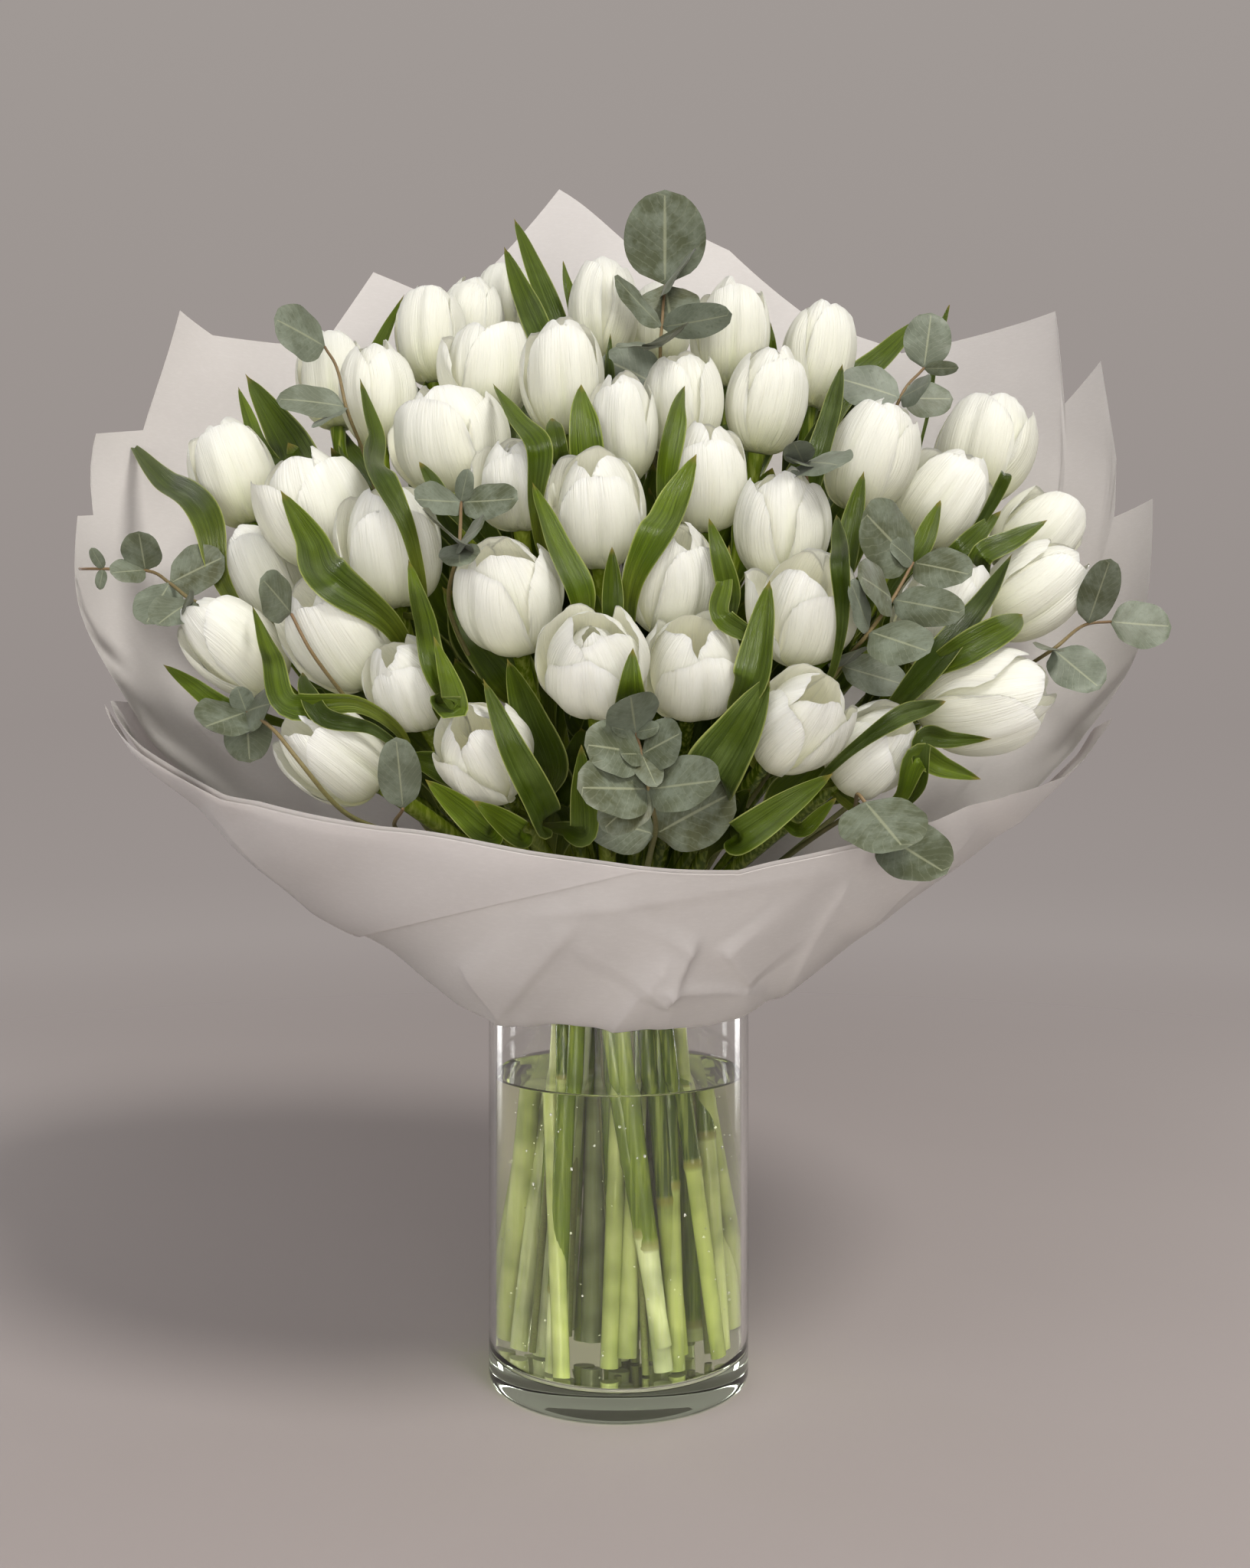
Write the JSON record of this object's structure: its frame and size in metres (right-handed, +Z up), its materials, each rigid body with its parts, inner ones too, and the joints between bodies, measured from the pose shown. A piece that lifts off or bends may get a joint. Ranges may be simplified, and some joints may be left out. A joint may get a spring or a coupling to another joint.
{
  "type": "tulip bouquet in a vase",
  "caption": "White tulips with eucalyptus, wrapped in paper and tied, standing in water in a clear glass cylinder vase.",
  "frame": {"origin": "middle of the vase's underside, on the surface it stands on", "axes": "+Z up; the open side of the wrapping faces -Y; +X to the right seen from there"},
  "size_m": [0.6415, 0.4061, 0.746],
  "materials": {
    "glass": "clear",
    "water": "clear",
    "petals": "satin",
    "greens": "satin",
    "eucalyptus": "matte",
    "paper": "matte",
    "cord": "matte"
  },
  "bodies": {
    "root": {"vase": "glass", "water": "water", "tulip_stems_and_leaves": "greens", "tulip_bloom_01": "petals", "tulip_bloom_02": "petals", "tulip_bloom_03": "petals", "tulip_bloom_04": "petals", "tulip_bloom_05": "petals", "tulip_bloom_06": "petals", "tulip_bloom_07": "petals", "tulip_bloom_08": "petals", "tulip_bloom_09": "petals", "tulip_bloom_10": "petals", "tulip_bloom_11": "petals", "tulip_bloom_12": "petals", "tulip_bloom_13": "petals", "tulip_bloom_14": "petals", "tulip_bloom_15": "petals", "tulip_bloom_16": "petals", "tulip_bloom_17": "petals", "tulip_bloom_18": "petals", "tulip_bloom_19": "petals", "tulip_bloom_20": "petals", "tulip_bloom_21": "petals", "tulip_bloom_22": "petals", "tulip_bloom_23": "petals", "tulip_bloom_24": "petals", "tulip_bloom_25": "petals", "tulip_bloom_26": "petals", "tulip_bloom_27": "petals", "tulip_bloom_28": "petals", "tulip_bloom_29": "petals", "tulip_bloom_30": "petals", "tulip_bloom_31": "petals", "tulip_bloom_32": "petals", "tulip_bloom_33": "petals", "tulip_bloom_34": "petals", "tulip_bloom_35": "petals", "tulip_bloom_36": "petals", "tulip_bloom_37": "petals", "tulip_bloom_38": "petals", "tulip_bloom_39": "petals", "tulip_bloom_40": "petals", "tulip_bloom_41": "petals", "tulip_bloom_42": "petals", "eucalyptus_branch_1": "eucalyptus", "eucalyptus_branch_2": "eucalyptus", "eucalyptus_branch_3": "eucalyptus", "eucalyptus_branch_4": "eucalyptus", "eucalyptus_branch_5": "eucalyptus", "eucalyptus_branch_6": "eucalyptus", "eucalyptus_branch_7": "eucalyptus", "eucalyptus_branch_8": "eucalyptus", "paper_back": "paper", "paper_left": "paper", "paper_right": "paper", "paper_front": "paper", "binding_cord": "cord"}
  },
  "joints": []
}
